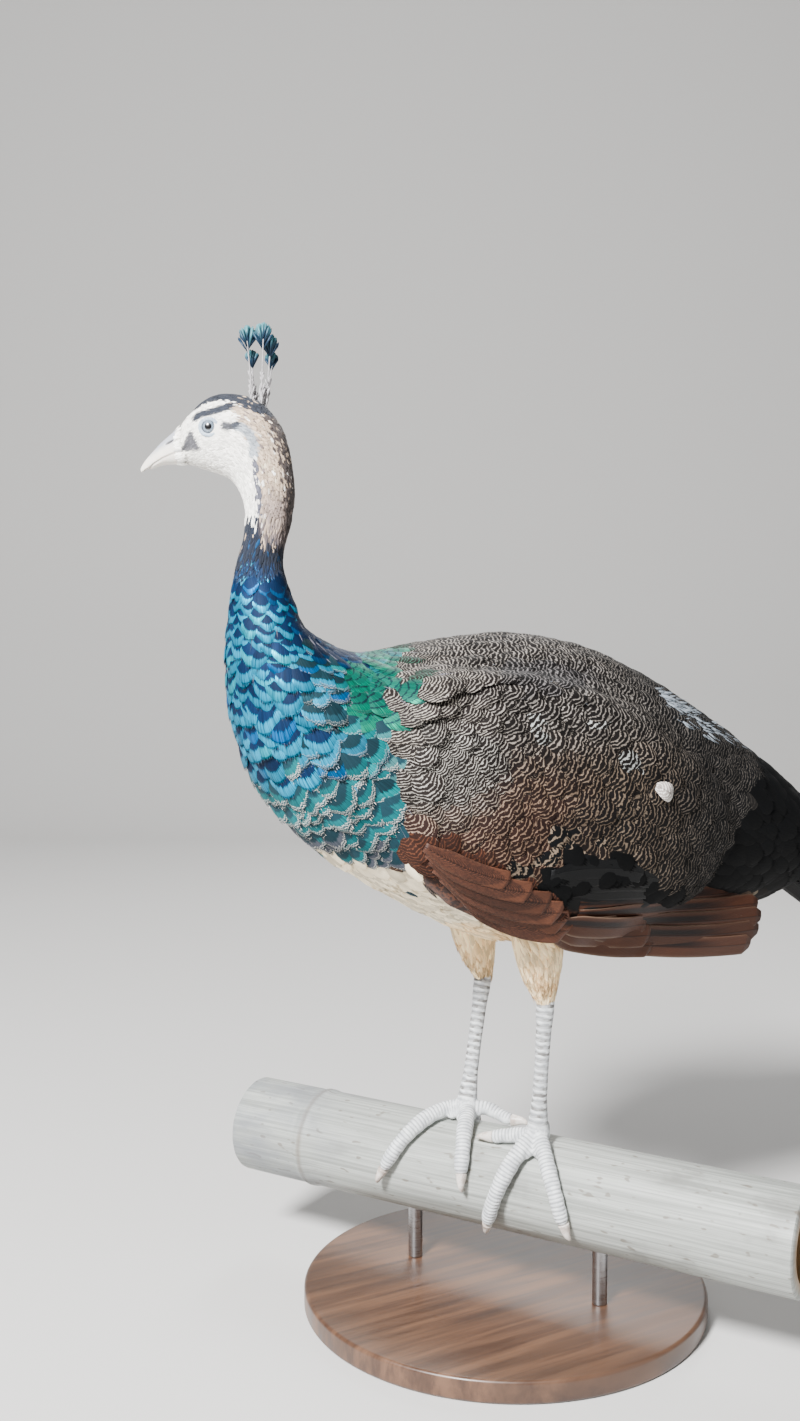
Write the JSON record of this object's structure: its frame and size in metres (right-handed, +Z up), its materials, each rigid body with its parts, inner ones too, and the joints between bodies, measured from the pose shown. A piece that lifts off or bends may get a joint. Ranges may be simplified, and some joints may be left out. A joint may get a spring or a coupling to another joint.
{
  "type": "mounted peacock model",
  "caption": "Life-size still model of a young peacock standing on a cut length of bamboo, held by a plain round base with short rods.",
  "frame": {"origin": "centre of the stand base's underside, on the surface it stands on", "axes": "+Z up; the bird's body faces -X, so its tail points to +X and its left side to -Y; its head is turned 30 degrees to its own right"},
  "size_m": [0.8839, 0.4756, 0.776],
  "materials": {
    "bill_horn": "pale grey-brown horn, satin",
    "claw_horn": "brown horn, satin",
    "crest_feathers": "small blue-green fans on pale bare shafts",
    "eye_glass": "dark brown glass eye, polished",
    "leg_scales": "grey-white horny scales",
    "face_feathers": "white face with a dark crown and eye stripe",
    "neck_feathers": "glossy blue and green scale-like feathers",
    "bamboo": "weathered straw-grey bamboo",
    "chestnut_feathers": "chestnut flight feathers",
    "stand_wood": "dark brown satin wood",
    "stand_steel": "satin steel",
    "tail_feathers": "dark brown tail feathers",
    "thigh_feathers": "cream-buff down",
    "body_feathers": "grey-buff feathers with dark wavy bars"
  },
  "bodies": {
    "root": {"bill_lower": "bill_horn", "bill_upper": "bill_horn", "claw_hallux_left": "claw_horn", "claw_hallux_right": "claw_horn", "claw_inner_left": "claw_horn", "claw_inner_right": "claw_horn", "claw_middle_left": "claw_horn", "claw_middle_right": "claw_horn", "claw_outer_left": "claw_horn", "claw_outer_right": "claw_horn", "crest_feather_1": "crest_feathers", "crest_feather_2": "crest_feathers", "crest_feather_3": "crest_feathers", "crest_feather_4": "crest_feathers", "crest_feather_5": "crest_feathers", "eye_left": "eye_glass", "eye_right": "eye_glass", "foot_left": "leg_scales", "foot_right": "leg_scales", "head": "face_feathers", "neck_lower": "neck_feathers", "neck_upper": "neck_feathers", "perch": "bamboo", "primaries_left": "chestnut_feathers", "primaries_right": "chestnut_feathers", "stand_base": "stand_wood", "stand_rod_1": "stand_steel", "stand_rod_2": "stand_steel", "tail": "tail_feathers", "tarsus_left": "leg_scales", "tarsus_right": "leg_scales", "thigh_left": "thigh_feathers", "thigh_right": "thigh_feathers", "trunk": "body_feathers", "wing_left": "body_feathers", "wing_right": "body_feathers"}
  },
  "joints": []
}
